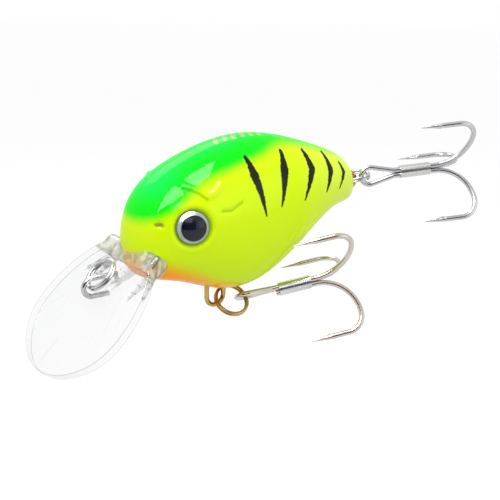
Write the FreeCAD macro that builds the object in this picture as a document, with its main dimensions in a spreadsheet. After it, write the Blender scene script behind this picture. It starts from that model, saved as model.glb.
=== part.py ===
"""Crankbait fishing lure: a hollow two-shell body with a clear diving bill, a line tie, and two
treble hooks that hang from split rings.

Row frame, in millimetres: the origin is the centre of the line-tie eye, +X runs from the nose to
the tail, +Y is the right flank and +Z is up, with the lure level as it swims.
"""
import FreeCAD, Part
import math
import os
import Sketcher

Vector = FreeCAD.Vector
Rotation = FreeCAD.Rotation
Placement = FreeCAD.Placement

X_AXIS = Vector(1, 0, 0)
Y_AXIS = Vector(0, 1, 0)
Z_AXIS = Vector(0, 0, 1)

# name, millimetres or degrees, what it is
SIZES = (
    ("body_length", 50.0, "nose to tail"),
    ("body_height", 27.4, "back to belly at the deepest station"),
    ("body_width", 20.4, "flank to flank at the widest station"),
    ("fullness", 2.15, "exponent of the body's rounded cross-section"),
    ("shell_wall", 1.3, "plastic wall of the shells"),
    ("nose_ahead", 6.4, "line tie to nose, along X"),
    ("axis_above", 7.0, "line tie to body axis, along Z"),
    ("eye_back", 7.65, "nose to eye centre, along X"),
    ("eye_above", 3.1, "body axis to eye centre, along Z"),
    ("eye_diameter", 5.6, "outside of the eye"),
    ("pupil_diameter", 4.2, "dark pupil"),
    ("eye_fit", 0.05, "gap round the eye in its socket"),
    ("socket_depth", 0.9, "depth of the eye socket"),
    ("foil_thickness", 0.3, "silver disc in the socket"),
    ("pupil_thickness", 0.15, "pupil disc on the foil"),
    ("dome_height", 1.25, "clear dome over the pupil"),
    ("nostril_back", 3.0, "nose to nostril, along X"),
    ("nostril_above", 3.6, "body axis to nostril, along Z"),
    ("nostril_radius", 0.55, "nostril dimple"),
    ("bill_angle", 45.0, "bill below the body axis"),
    ("bill_thickness", 1.7, "bill plate"),
    ("bill_half_width", 13.5, "bill's middle to its edge where it is widest"),
    ("tie_to_tip", 15.7, "line tie to bill tip, along the bill"),
    ("tie_to_root", 9.0, "line tie to the plate's root, along the bill"),
    ("tip_radius", 15.0, "arc across the bill's tip"),
    ("corner_radius", 9.0, "arc at the bill's widest place"),
    ("side_radius", 17.5, "arc along the bill's side"),
    ("bill_edge_round", 0.35, "rounding of the bill's edges"),
    ("collar_near", 6.6, "line tie to the collar's front, along the bill"),
    ("collar_far", 10.2, "line tie to the collar's back, along the bill"),
    ("collar_half_width", 8.6, "middle to the collar's lobe"),
    ("collar_depth", 3.4, "collar, from the bill's upper face"),
    ("collar_round", 1.2, "rounding of the collar's corners"),
    ("tongue_half_width", 4.5, "middle to the tongue's side"),
    ("tongue_reach", 13.0, "line tie to the tongue's end, along the bill"),
    ("tongue_thickness", 1.2, "tongue, in the middle of the plate"),
    ("tongue_fit", 0.08, "gap round the tongue in the shells"),
    ("rib_side", 6.2, "middle to each side rib"),
    ("rib_length", 9.6, "rib, along the bill"),
    ("rib_height", 1.9, "rib at its root"),
    ("rib_thickness", 0.8, "side rib"),
    ("keel_thickness", 2.2, "middle rib, which holds the line-tie wire"),
    ("keel_height", 2.6, "middle rib at its root"),
    ("rib_turn", 38.0, "outer rib, turned from the bill's length"),
    ("tie_wire", 0.9, "line-tie wire diameter"),
    ("tie_bend", 1.55, "line-tie eye, to the wire's middle"),
    ("tie_proud", 0.85, "line-tie eye centre above the bill's face"),
    ("tie_upper_leg", 4.6, "upper leg in the bill"),
    ("tie_lower_leg", 3.0, "lower leg in the bill"),
    ("hanger_wire", 0.9, "hook hanger wire diameter"),
    ("belly_hanger_bend", 1.85, "belly hanger, to the wire's middle"),
    ("belly_hanger_back", 18.2, "nose to belly hanger, along X"),
    ("belly_hanger_proud", 1.8, "belly's skin to the hanger's outer bend"),
    ("belly_hanger_run", 4.6, "between the hanger's two bends"),
    ("tail_hanger_bend", 1.35, "tail hanger, to the wire's middle"),
    ("tail_hanger_proud", 0.9, "tail to the hanger's outer bend"),
    ("tail_hanger_above", 4.7, "body axis to tail hanger, along Z"),
    ("tail_hanger_run", 5.0, "between the hanger's two bends"),
    ("hanger_boss", 1.1, "plastic round each hanger's inner bend"),
    ("ring_wire_wide", 0.62, "split-ring wire, across the ring"),
    ("ring_wire_high", 0.50, "split-ring wire, along the ring's axis"),
    ("ring_pitch", 0.53, "one coil of a split ring"),
    ("ring_turns", 1.9, "coils of a split ring"),
    ("tie_ring_radius", 2.8, "line-tie ring, to the wire's middle"),
    ("belly_ring_radius", 3.05, "belly ring, to the wire's middle"),
    ("tail_ring_radius", 2.65, "tail ring, to the wire's middle"),
    ("tie_ring_play", 0.35, "line-tie eye centre to the ring's wire"),
    ("hook_wire", 1.05, "hook wire diameter"),
    ("hook_length", 22.8, "end of the hook's eye to the bend"),
    ("hook_spread", 11.0, "hook's axis to the point's wire"),
    ("hook_corner", 3.3, "tight part of the bend"),
    ("shank_offset", 0.63, "hook's axis to each shank's middle"),
    ("hook_eye_bend", 1.75, "hook's eye, to the wire's middle"),
    ("hook_neck", 7.2, "end of the eye to where the shanks lie together"),
    ("single_start", 8.0, "end of the eye to the third shank"),
    ("point_straight", 3.4, "straight wire before the point"),
    ("point_length", 4.5, "ground point"),
    ("point_end", 0.05, "radius of the sharpened end"),
    ("barb_start", 2.0, "end of the straight wire to the barb's root"),
    ("barb_turn", 21.7, "barb turned in from the point"),
    ("barb_length", 1.9, "barb"),
    ("barb_base", 0.32, "radius of the barb's root"),
    ("braze_start", 8.6, "end of the eye to the braze"),
    ("braze_length", 6.2, "braze along the shanks"),
    ("braze_radius", 1.3, "braze round the three shanks"),
    ("eye_seat", 1.95, "end of a hook's eye to the ring's wire in it"),
    ("weight_back", 15.5, "nose to belly weight, along X"),
    ("weight_below", 3.6, "body axis to belly weight, along Z"),
    ("weight_radius", 2.9, "belly weight"),
    ("weight_half_length", 5.0, "parting face to the belly weight's end"),
    ("rattle_back", 29.5, "nose to the first rattle tube, along X"),
    ("rattle_above", 5.6, "body axis to the first rattle tube, along Z"),
    ("rattle_step", 7.4, "first to second rattle tube, along X"),
    ("rattle_rise", 1.2, "first to second rattle tube, along Z"),
    ("ball_radius", 1.9, "rattle ball"),
    ("ball_gap", 0.35, "gap round a ball in its tube"),
    ("rattle_half_length", 5.4, "parting face to the end of a rattle tube"),
    ("tube_wall", 0.8, "wall of the tubes inside the shells"),
    ("weight_fit", 0.05, "gap round the belly weight"),
    ("dowel_radius", 0.9, "dowels that line the shells up"),
    ("dowel_length", 1.6, "dowel past the parting face"),
    ("dowel_fit", 0.05, "gap round a dowel"),
    ("dowel_wall", 0.7, "plastic round a dowel's hole"),
)

# Top and bottom as shares of the height, and half-width as a share of the width, at equal
# turns of a half circle that runs from the nose to the tail.
STATIONS = (
    (-0.047, -0.047, 0.000),
    (0.175, -0.208, 0.216),
    (0.350, -0.270, 0.382),
    (0.467, -0.325, 0.475),
    (0.558, -0.412, 0.500),
    (0.595, -0.405, 0.485),
    (0.555, -0.245, 0.441),
    (0.482, -0.051, 0.377),
    (0.401, 0.026, 0.284),
    (0.281, 0.044, 0.157),
    (0.131, 0.131, 0.000),
)
MERIDIANS = 12
# Dowels, as shares of the body's length and height from the nose and the axis.
DOWELS = ((0.10, 0.12), (0.46, 0.50), (0.86, 0.22))

doc = FreeCAD.newDocument("crankbait")
sheet = doc.addObject("Spreadsheet::Sheet", "Sizes")
for row, (alias, value, meaning) in enumerate(SIZES, start=1):
    sheet.set(f"A{row}", alias)
    sheet.set(f"B{row}", str(value))
    sheet.set(f"C{row}", meaning)
    sheet.setAlias(f"B{row}", alias)
doc.recompute()

parts = []


def size(alias):
    """One value from the sheet."""
    return float(sheet.get(alias))


def bound(text):
    """An expression in sheet names, such as "hook_wire / 2", with the sheet's name put in."""
    names = sorted((alias for alias, _, _ in SIZES), key=len, reverse=True)
    words = text.split()
    return " ".join(f"Sizes.{word}" if word in names else word for word in words)


def made(kind, name, placement=None, **sizes):
    """A document object with its sizes bound to the sheet."""
    item = doc.addObject(kind, name)
    for prop, text in sizes.items():
        item.setExpression(prop, bound(text))
    if placement is not None:
        item.Placement = placement
    return item


def part(item, name):
    """Marks a finished sub-part and gives it its file's name."""
    item.Label = name
    parts.append(item)
    return item


def feature(shape, name):
    """A shape that needs Part's own functions, as a document object."""
    item = doc.addObject("Part::Feature", name)
    item.Shape = shape
    return item


def fused(items, name, placement=None):
    item = doc.addObject("Part::MultiFuse", name)
    item.Shapes = items
    if placement is not None:
        item.Placement = placement
    return item


def cut(base, tool, name):
    item = doc.addObject("Part::Cut", name)
    item.Base = base
    item.Tool = tool
    return item


def at(back, side, above):
    """A point given from the nose, along the body, and from the body's axis."""
    return Vector(size("nose_ahead") + back, side, size("axis_above") + above)


def towards(direction, start=Vector()):
    """The placement that turns +Z to a direction."""
    return Placement(start, Rotation(Z_AXIS, direction))


def aimed(yaw, rise):
    """A unit vector near +X, turned about Z towards +Y by yaw and then raised, in degrees."""
    flat = math.cos(math.radians(rise))
    return Vector(flat * math.cos(math.radians(yaw)), flat * math.sin(math.radians(yaw)),
                  math.sin(math.radians(rise)))


# ---------------------------------------------------------------------------------------------
# Body form: the outer skin that everything else seats on

def half_form(side, inset=0.0):
    """One solid half of the body form and its skin; side is -1 on the left and 1 on the right."""
    length, height, width = size("body_length"), size("body_height"), size("body_width")
    power = 2.0 / size("fullness")
    grid = []
    for meridian in range(MERIDIANS + 1):
        lean = math.pi * (meridian / MERIDIANS - 0.5)
        across = abs(math.cos(lean)) ** power if 0 < meridian < MERIDIANS else 0.0
        upwards = math.copysign(abs(math.sin(lean)) ** power, math.sin(lean))
        line = []
        for station, (top, bottom, half_width) in enumerate(STATIONS):
            turn = math.pi * station / (len(STATIONS) - 1)
            back = inset + (length / 2 - inset) * (1 - math.cos(turn))
            half_height = max(height * (top - bottom) / 2 - inset, 0.0)
            reach = max(width * half_width - inset, 0.0)
            middle = height * (top + bottom) / 2
            line.append(at(back, side * reach * across, middle + half_height * upwards))
        grid.append(line)
    skin = Part.BSplineSurface()
    skin.interpolate(grid)
    face = skin.toShape()
    rims = [edge for edge in face.Edges if not edge.Degenerated]
    flat = Part.Face(Part.Wire(Part.__sortEdges__(rims)))
    closed = Part.Shell([face, flat])
    closed.sewShape()
    solid = Part.Solid(closed)
    if solid.Volume < 0:
        solid.reverse()
    return solid, skin


forms = {side: half_form(side) for side in (-1, 1)}
whole_form = feature(forms[-1][0].fuse(forms[1][0]).removeSplitter(), "body_form")


def on_skin(side, back, above):
    """A point of the skin and the outward normal there."""
    solid, skin = forms[side]
    probe = Part.makeLine(at(back, 0, above), at(back, side * size("body_width"), above))
    point = max((v.Point for v in solid.common(probe).Vertexes), key=lambda p: side * p.y)
    normal = skin.normal(*skin.parameter(point))
    if normal.y * side < 0:
        normal = normal * -1
    return point, normal


# ---------------------------------------------------------------------------------------------
# Line tie: a wire staple whose legs are moulded into the bill

def wire_bend(name, radius, wire, centre, start, turned, angle=180):
    """Part of a ring of round wire: it runs from the direction start towards turned."""
    pose = Placement(centre, Rotation(start, turned, start.cross(turned), "XYZ"))
    bend = made("Part::Torus", name, pose, Radius1=radius, Radius2=wire + " / 2")
    bend.Angle3 = angle
    return bend


def wire_run(name, length, wire, start, direction):
    """A straight piece of round wire."""
    return made("Part::Cylinder", name, towards(direction, start), Radius=wire + " / 2", Height=length)


tie_bend = size("tie_bend")


def tie_staple(name):
    """The line-tie wire: the eye's bend and its two legs."""
    return fused([
        wire_bend(name + "_bend", "tie_bend", "tie_wire", Vector(), Z_AXIS, X_AXIS * -1),
        wire_run(name + "_upper", "tie_upper_leg", "tie_wire", Z_AXIS * tie_bend, X_AXIS),
        wire_run(name + "_lower", "tie_lower_leg", "tie_wire", Z_AXIS * -tie_bend, X_AXIS),
    ], name)


line_tie = part(tie_staple("tie"), "line_tie_wire")

# ---------------------------------------------------------------------------------------------
# Diving bill: a clear plate with a collar under the chin, ribs below it and a tongue in the body.
# Its own frame has +X down the bill to the tip and +Z from the upper face through the plate.

slope = Rotation(Y_AXIS, 180 - size("bill_angle"))
bill_pose = Placement(slope.multVec(Z_AXIS) * size("tie_proud"), slope)


def bill_outline(body):
    """The plate's outline: a root line, then side, corner and tip arcs that run into each other."""
    sketch = body.newObject("Sketcher::SketchObject", "bill_outline")
    plane = next(f for f in body.Origin.OriginFeatures if f.Role == "XY_Plane")
    sketch.AttachmentSupport = (plane, [""])
    sketch.MapMode = "FlatFace"
    tip_r, corner_r, side_r = size("tip_radius"), size("corner_radius"), size("side_radius")
    tip_x = size("tie_to_tip") - tip_r
    corner_y = size("bill_half_width") - corner_r
    side_y = size("bill_half_width") - side_r
    corner_x = tip_x + math.sqrt((tip_r - corner_r) ** 2 - corner_y ** 2)
    root_x = -size("tie_to_root")
    root_y = side_y + math.sqrt(side_r ** 2 - (corner_x - root_x) ** 2)
    join = math.atan2(corner_y, corner_x - tip_x)
    root_turn = math.atan2(root_y - side_y, root_x - corner_x)
    quarter = math.pi / 2

    def arc(x, y, radius, first, last):
        return Part.ArcOfCircle(Part.Circle(Vector(x, y, 0), Z_AXIS, radius), first, last)

    sketch.addGeometry([
        Part.LineSegment(Vector(root_x, root_y, 0), Vector(root_x, -root_y, 0)),
        arc(corner_x, -side_y, side_r, -root_turn, -quarter),
        arc(corner_x, -corner_y, corner_r, -quarter, -join),
        arc(tip_x, 0, tip_r, -join, join),
        arc(corner_x, corner_y, corner_r, join, quarter),
        arc(corner_x, side_y, side_r, quarter, root_turn),
    ], False)
    line, low_side, low_corner, tip, corner, side = range(6)
    first, last, centre, axis = 1, 2, 3, -1
    joins = ((low_side, low_corner), (low_corner, tip), (tip, corner), (corner, side))
    rules = [("Coincident", line, last, low_side, first), ("Coincident", side, last, line, first)]
    rules += [("Tangent", one, last, two, first) for one, two in joins]
    rules += [
        ("Equal", low_side, side),
        ("Equal", low_corner, corner),
        ("PointOnObject", tip, centre, axis),
        ("Vertical", line),
        ("Vertical", low_corner, centre, corner, centre),
        ("Vertical", corner, centre, side, centre),
        ("Vertical", low_corner, centre, low_side, centre),
    ]
    for rule in rules:
        sketch.addConstraint(Sketcher.Constraint(*rule))
    driven = (
        ("side", ("Radius", side, side_r), "side_radius"),
        ("corner", ("Radius", corner, corner_r), "corner_radius"),
        ("tip", ("Radius", tip, tip_r), "tip_radius"),
        ("reach", ("DistanceX", axis, first, tip, centre, tip_x), "tie_to_tip - tip_radius"),
        ("root", ("DistanceX", line, first, axis, first, -root_x), "tie_to_root"),
        ("width", ("DistanceY", axis, first, corner, centre, corner_y), "bill_half_width - corner_radius"),
    )
    for name, rule, text in driven:
        index = sketch.addConstraint(Sketcher.Constraint(*rule))
        sketch.renameConstraint(index, name)
        sketch.setExpression(f"Constraints.{name}", bound(text))
    return sketch


plate = doc.addObject("PartDesign::Body", "bill_plate")
outline = bill_outline(plate)
doc.recompute()
plate_pad = plate.newObject("PartDesign::Pad", "plate_pad")
plate_pad.Profile = outline
plate_pad.setExpression("Length", bound("bill_thickness"))
doc.recompute()
plate_round = plate.newObject("PartDesign::Fillet", "plate_round")
plate_round.Base = (plate_pad, [])
plate_round.UseAllEdges = True
plate_round.setExpression("Radius", bound("bill_edge_round"))
plate.Tip = plate_round
doc.recompute()

collar_corner = Vector(-size("collar_far"), -size("collar_half_width"), 0)
collar_box = made("Part::Box", "collar_box", Placement(collar_corner, Rotation()),
                  Length="collar_far - collar_near", Width="collar_half_width * 2",
                  Height="collar_depth")
doc.recompute()
collar = doc.addObject("Part::Fillet", "collar")
collar.Base = collar_box
collar_round = size("collar_round")
collar.Edges = [(index, collar_round, collar_round)
                for index in range(1, len(collar_box.Shape.Edges) + 1)]


def rib(name, thickness, height, across, turn=0.0):
    """A triangular rib on the plate's lower face, tallest at the collar."""
    root = Vector(-size("collar_near") - size(thickness), across, size("bill_thickness") / 2)
    stand = Rotation(X_AXIS, Z_AXIS, Y_AXIS * -1, "XYZ")
    half = f"{thickness} / 2"
    wedge = made("Part::Wedge", name, Placement(root, Rotation(Z_AXIS, turn).multiply(stand)),
                 Xmax="rib_length", X2max=half, Zmin="-1 * " + half, Zmax=half,
                 Z2min="-1 * " + half, Z2max=half, Ymax=f"{height} + bill_thickness / 2")
    wedge.Xmin, wedge.Ymin, wedge.X2min = 0, 0, 0
    return wedge


rib_side = size("rib_side")
rib_turn = size("rib_turn")
ribs = [
    rib("keel", "keel_thickness", "keel_height", 0),
    rib("rib_near", "rib_thickness", "rib_height", -rib_side),
    rib("rib_near_outer", "rib_thickness", "rib_height", -rib_side, -rib_turn),
    rib("rib_far", "rib_thickness", "rib_height", rib_side),
    rib("rib_far_outer", "rib_thickness", "rib_height", rib_side, rib_turn),
]
bill_blank = fused([plate, collar] + ribs, "bill_blank", bill_pose)


def tongue_box(name, fit):
    """The tongue, or with a gap round it the slot in the shells that takes it."""
    skirt = (size("bill_thickness") - size("tongue_thickness")) / 2 - fit
    corner = Vector(-size("tongue_reach") - fit, -size("tongue_half_width") - fit, skirt)
    pose = bill_pose.multiply(Placement(corner, Rotation()))
    return made("Part::Box", name, pose, Length=f"tongue_reach - collar_near + {fit}",
                Width=f"tongue_half_width * 2 + {2 * fit}",
                Height=f"tongue_thickness + {2 * fit}")


saddled = cut(bill_blank, whole_form, "bill_saddled")
tongued = fused([saddled, tongue_box("tongue", 0.0)], "bill_tongued")
part(cut(tongued, tie_staple("tie_bore"), "bill"), "diving_bill")

# ---------------------------------------------------------------------------------------------
# Hook hangers: closed wire links, half outside the body and half trapped between the shells


def hanger(name, bend, run, wire, centre, inwards):
    """A long closed link: its outer bend is round the centre and its run goes inwards."""
    across = inwards.cross(Y_AXIS)
    inner = centre + inwards * size(run)
    radius = size(bend)
    return fused([
        wire_bend(name + "_outer", bend, wire, centre, across, inwards * -1),
        wire_bend(name + "_inner", bend, wire, inner, across, inwards),
        wire_run(name + "_one", run, wire, centre + across * radius, inwards),
        wire_run(name + "_two", run, wire, centre - across * radius, inwards),
    ], name)


def belly_skin(back):
    """The lowest point of the body at one place along it."""
    probe = Part.makeLine(at(back, 0, -size("body_height")), at(back, 0, 0))
    return min((v.Point for v in whole_form.Shape.common(probe).Vertexes), key=lambda p: p.z)


belly_bend = belly_skin(size("belly_hanger_back")) - Z_AXIS * size("belly_hanger_proud")
tail_bend = at(size("body_length") + size("tail_hanger_proud"), 0, size("tail_hanger_above"))
HANGERS = {
    "belly": ("belly_hanger_bend", "belly_hanger_run", belly_bend, Z_AXIS),
    "tail": ("tail_hanger_bend", "tail_hanger_run", tail_bend, X_AXIS * -1),
}
hangers = {}
for name, (bend, run, centre, inwards) in HANGERS.items():
    link = hanger(name + "_link", bend, run, "hanger_wire", centre, inwards)
    hangers[name] = part(link, name + "_hanger")

# ---------------------------------------------------------------------------------------------
# Weight and rattle balls, each in a tube across the body that both shells share

weight_centre = at(size("weight_back"), 0, -size("weight_below"))
weight_pose = towards(Y_AXIS, weight_centre - Y_AXIS * size("weight_half_length"))
belly_weight = made("Part::Cylinder", "weight", weight_pose, Radius="weight_radius",
                    Height="weight_half_length * 2")
part(belly_weight, "belly_weight")

rattle_centres = []
for index, name in enumerate(("front", "rear")):
    back = size("rattle_back") + index * size("rattle_step")
    above = size("rattle_above") + index * size("rattle_rise")
    rattle_centres.append(at(back, 0, above))
    ball = made("Part::Sphere", f"{name}_ball", Placement(at(back, 0, above), Rotation()),
                Radius="ball_radius")
    part(ball, f"rattle_ball_{name}")

# ---------------------------------------------------------------------------------------------
# Eyes: a foil disc, a dark pupil and a clear dome in a socket on each flank

SIDES = {"left": -1, "right": 1}


def eye_pose(side, lift=0.0):
    """Local +Z leaves the flank; the seat of the eye is socket_depth under the skin."""
    point, normal = on_skin(side, size("eye_back"), size("eye_above"))
    return towards(normal, point + normal * (lift - size("socket_depth")))


def eye_dome(name, side):
    """A clear cap with a flat back, cut from a ball, and hollowed to clear the pupil disc."""
    radius, height = size("eye_diameter") / 2, size("dome_height")
    ball_radius = (radius ** 2 + height ** 2) / (2 * height)
    pose = eye_pose(side, size("foil_thickness"))
    back = Vector(0, 0, height - ball_radius)
    ball = Part.makeSphere(ball_radius, back)
    cap = ball.common(Part.makeCylinder(radius, height))
    pupil = Part.makeCylinder(size("pupil_diameter") / 2, size("pupil_thickness"))
    dome = feature(cap.cut(pupil), name)
    dome.Placement = pose
    return dome


for word, side in SIDES.items():
    foil = made("Part::Cylinder", f"foil_{word}", eye_pose(side), Radius="eye_diameter / 2",
                Height="foil_thickness")
    part(foil, f"eye_foil_{word}")
    pupil = made("Part::Cylinder", f"pupil_{word}", eye_pose(side, size("foil_thickness")),
                 Radius="pupil_diameter / 2", Height="pupil_thickness")
    part(pupil, f"eye_pupil_{word}")
    part(eye_dome(f"dome_{word}", side), f"eye_dome_{word}")

# ---------------------------------------------------------------------------------------------
# Shells: two thin halves that meet at the middle plane, with bosses, tubes and dowels inside

doc.recompute()
slot = tongue_box("tongue_slot", size("tongue_fit"))
doc.recompute()


def across(centre, radius, half_length, side):
    """A cylinder from the parting face towards one flank."""
    start = Vector(centre.x, 0, centre.z)
    return Part.makeCylinder(radius, half_length, start, Y_AXIS * side)


def shell(side):
    """One half of the body: a thin wall, with posts from its flank to the parting face."""
    form, _ = forms[side]
    hollow, _ = half_form(side, size("shell_wall"))
    wall, fit, flank = size("tube_wall"), size("dowel_fit"), size("body_width") / 2
    tubes = [(weight_centre, size("weight_radius") + size("weight_fit"),
              size("weight_half_length") + size("weight_fit"))]
    tubes += [(centre, size("ball_radius") + size("ball_gap"), size("rattle_half_length"))
              for centre in rattle_centres]
    posts = [across(centre, radius + wall, flank, side) for centre, radius, length in tubes]
    voids = [across(centre, radius, length, side) for centre, radius, length in tubes]
    for bend, run, centre, inwards in HANGERS.values():
        radius = size(bend) + size("hanger_wire") / 2 + size("hanger_boss")
        inner = centre + inwards * size(run)
        posts.append(across(inner, radius, flank, side))
    dowels = [at(back * size("body_length"), 0, above * size("body_height"))
              for back, above in DOWELS]
    boss = size("dowel_radius") + fit + size("dowel_wall")
    posts += [across(centre, boss, flank, side) for centre in dowels]
    seat = eye_pose(side)
    eye_radius = size("eye_diameter") / 2 + size("eye_fit")
    outwards = seat.Rotation.multVec(Z_AXIS)
    posts.append(Part.makeCylinder(eye_radius + wall, 2 * wall, seat.Base - outwards * wall,
                                   outwards))
    voids.append(Part.makeCylinder(eye_radius, size("eye_diameter"), seat.Base, outwards))
    nostril, _ = on_skin(side, size("nostril_back"), size("nostril_above"))
    voids.append(Part.makeSphere(size("nostril_radius"), nostril))
    voids += [link.Shape for link in hangers.values()]
    voids.append(slot.Shape)
    if side == SIDES["right"]:
        depth = size("dowel_length") + fit
        voids += [across(centre, size("dowel_radius") + fit, depth, side) for centre in dowels]
    body = form.cut(hollow).fuse([post.common(form) for post in posts]).cut(voids)
    if side == SIDES["left"]:
        pegs = [across(centre, size("dowel_radius"), size("dowel_length"), -side)
                for centre in dowels]
        body = body.fuse(pegs)
    if len(body.Solids) != 1:
        raise RuntimeError(f"the shell is in {len(body.Solids)} pieces")
    return body.Solids[0]


for word, side in SIDES.items():
    part(feature(shell(side), f"shell_{word}"), f"body_shell_{word}")

# ---------------------------------------------------------------------------------------------
# Split rings: two close coils of flat wire, threaded through a hanger and a hook's eye


def split_ring(name, radius, centre, normal, start):
    """A split ring round a centre; its wire's ends lie on the start side."""
    pose = Placement(centre, Rotation(start, normal.cross(start), normal, "ZXY"))
    drop = Placement(Vector(0, 0, -size("ring_pitch") * size("ring_turns") / 2), Rotation())
    path = made("Part::Helix", name + "_coil", drop, Radius=radius, Pitch="ring_pitch",
                Height="ring_pitch * ring_turns")
    path.SegmentLength = 0.25
    doc.recompute()
    section_pose = drop.multiply(Placement(X_AXIS * size(radius), Rotation(X_AXIS, 90)))
    section = made("Part::Ellipse", name + "_wire", section_pose,
                   MajorRadius="ring_wire_wide / 2", MinorRadius="ring_wire_high / 2")
    ring = doc.addObject("Part::Sweep", name)
    ring.Sections = [section]
    ring.Spine = (path, [f"Edge{index + 1}" for index in range(len(path.Shape.Edges))])
    ring.Solid = True
    ring.Frenet = True
    ring.Placement = pose
    return ring


def threaded(radius, first, second, lean):
    """The centre and normal of a ring through two points, its centre leaning off their line."""
    line = second - first
    half = line.Length / 2
    along = Vector(line).normalize()
    aside = Vector(lean - along * lean.dot(along)).normalize()
    offset = math.sqrt(max(size(radius) ** 2 - half ** 2, 0.0))
    return first + along * half + aside * offset, along.cross(aside).normalize()


def tangent(centre, normal, point):
    """The way a ring's wire runs at a point on it, towards the left flank."""
    along = normal.cross(point - centre).normalize()
    return along * (1 if along.y < 0 else -1)


# ---------------------------------------------------------------------------------------------
# Treble hooks: one wire bent double through the eye, a third hook and the braze that joins them.
# Each has its own frame: +X from the eye's end down the shanks, +Z towards the single hook.

HOOK_PARTS = {"single": (0,), "pair": (120, -120)}


def round_x(angle):
    return Placement(Vector(), Rotation(X_AXIS, angle))


def tine(name, angle, start):
    """One shank, bend, point and barb, turned about the hook's axis."""
    turn = round_x(angle)
    offset, spread, corner = size("shank_offset"), size("hook_spread"), size("hook_corner")
    bend_radius = spread - corner - offset
    bend_start = size("hook_length") - bend_radius
    corner_x = size("hook_length") - corner
    bend_centre = Vector(bend_start, 0, offset + bend_radius)
    corner_centre = Vector(corner_x, 0, spread - corner)
    point_x = corner_x - size("point_straight")
    barb_at = Vector(point_x - size("barb_start"), 0, spread)
    barb_turn = math.radians(size("barb_turn"))
    barb_way = Vector(math.cos(barb_turn), 0, -math.sin(barb_turn))
    bend_text = "hook_spread - hook_corner - shank_offset"

    def posed(item):
        item.Placement = turn.multiply(item.Placement)
        return item

    shank = made("Part::Cylinder", name + "_shank", towards(X_AXIS, Vector(start, 0, offset)),
                 Radius="hook_wire / 2")
    shank.Height = bend_start - start
    bend = wire_bend(name + "_bend", bend_text, "hook_wire", bend_centre, Z_AXIS * -1, X_AXIS, 90)
    tight = wire_bend(name + "_corner", "hook_corner", "hook_wire", corner_centre, X_AXIS, Z_AXIS, 90)
    straight = wire_run(name + "_straight", "point_straight", "hook_wire",
                        Vector(corner_x, 0, spread), X_AXIS * -1)
    point = made("Part::Cone", name + "_point", towards(X_AXIS * -1, Vector(point_x, 0, spread)),
                 Radius1="hook_wire / 2", Radius2="point_end", Height="point_length")
    seam_aside = Placement(Vector(), Rotation(Z_AXIS, 30))
    barb = made("Part::Cone", name + "_barb",
                towards(barb_way, barb_at).multiply(seam_aside),
                Radius1="barb_base", Radius2="point_end", Height="barb_length")
    return [posed(item) for item in (barb, point, straight, tight, bend, shank)]


def hook_eye(name):
    """The loop of the double wire: a round end and two legs that come together at the neck."""
    offset, radius, neck = size("shank_offset"), size("hook_eye_bend"), size("hook_neck")
    level = offset * math.cos(math.radians(120))
    aside = offset * math.sin(math.radians(120))
    centre = Vector(radius + size("hook_wire") / 2, 0, level)
    reach = math.hypot(neck - centre.x, aside)
    tangent = math.atan2(aside, neck - centre.x) + math.acos(radius / reach)
    start = Vector(math.cos(tangent), math.sin(tangent), 0)
    items = [wire_bend(name + "_loop", "hook_eye_bend", "hook_wire", centre, start,
                       Z_AXIS.cross(start), 360 - 2 * math.degrees(tangent))]
    for word, side in (("one", 1), ("two", -1)):
        joint = Vector(neck, side * aside, level)
        touch = centre + Vector(start.x, side * start.y, 0) * radius
        leg = made("Part::Cylinder", f"{name}_leg_{word}", towards(joint - touch, touch),
                   Radius="hook_wire / 2")
        leg.Height = (joint - touch).Length
        knee = made("Part::Sphere", f"{name}_knee_{word}", Placement(joint, Rotation()),
                    Radius="hook_wire / 2")
        items += [leg, knee]
    return items


def braze(name):
    """The solder that fills round the three shanks."""
    start = size("braze_start")
    sleeve = made("Part::Cylinder", name + "_sleeve", towards(X_AXIS, X_AXIS * start),
                  Radius="braze_radius", Height="braze_length")
    bores = []
    for angle in (0, 120, -120):
        pose = round_x(angle).multiply(towards(X_AXIS, Vector(start - 1, 0, size("shank_offset"))))
        bores.append(made("Part::Cylinder", f"{name}_bore{len(bores)}", pose,
                          Radius="hook_wire / 2", Height="braze_length + 2"))
    return cut(sleeve, fused(bores, name + "_bores"), name)


def treble(name, pose):
    """The three sub-parts of a treble hook at its place."""
    single = fused(tine(name + "_lone", 0, size("single_start")), name + "_lone", pose)
    part(single, f"{name}_hook_single")
    double = hook_eye(name + "_eye")
    for word, angle in (("one", 120), ("two", -120)):
        double += tine(f"{name}_{word}", angle, size("hook_neck"))
    part(fused(double, name + "_double", pose), f"{name}_hook_pair")
    filler = braze(name + "_filler")
    filler.Placement = pose
    part(filler, f"{name}_hook_braze")


def hook_pose(seat, yaw, rise, single_turn):
    """A hook whose eye hangs on a ring's wire at seat; single_turn is round the shanks from down."""
    along = aimed(yaw, rise)
    level = Z_AXIS.cross(along).normalize()
    down = level.cross(along)
    turn = math.radians(single_turn)
    single = (level * math.sin(turn) + down * math.cos(turn)).normalize()
    sideways = single.cross(along)
    start = seat - along * size("eye_seat")
    start = start + single * (size("shank_offset") / 2)
    return Placement(start, Rotation(along, sideways, single, "XYZ"))


# ---------------------------------------------------------------------------------------------
# Rings and hooks at rest

pivots = {}
tie_lean = size("bill_angle")
tie_seat = Vector(-size("tie_ring_play"), 0, 0)
tie_along = aimed(0, tie_lean)
tie_centre = tie_seat + tie_along * size("tie_ring_radius")
tie_ring = split_ring("tie_ring", "tie_ring_radius", tie_centre, tie_along.cross(Y_AXIS), tie_along)
part(tie_ring, "line_tie_ring")
pivots["line_tie_swing"] = (tie_seat, Y_AXIS * -1)

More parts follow.
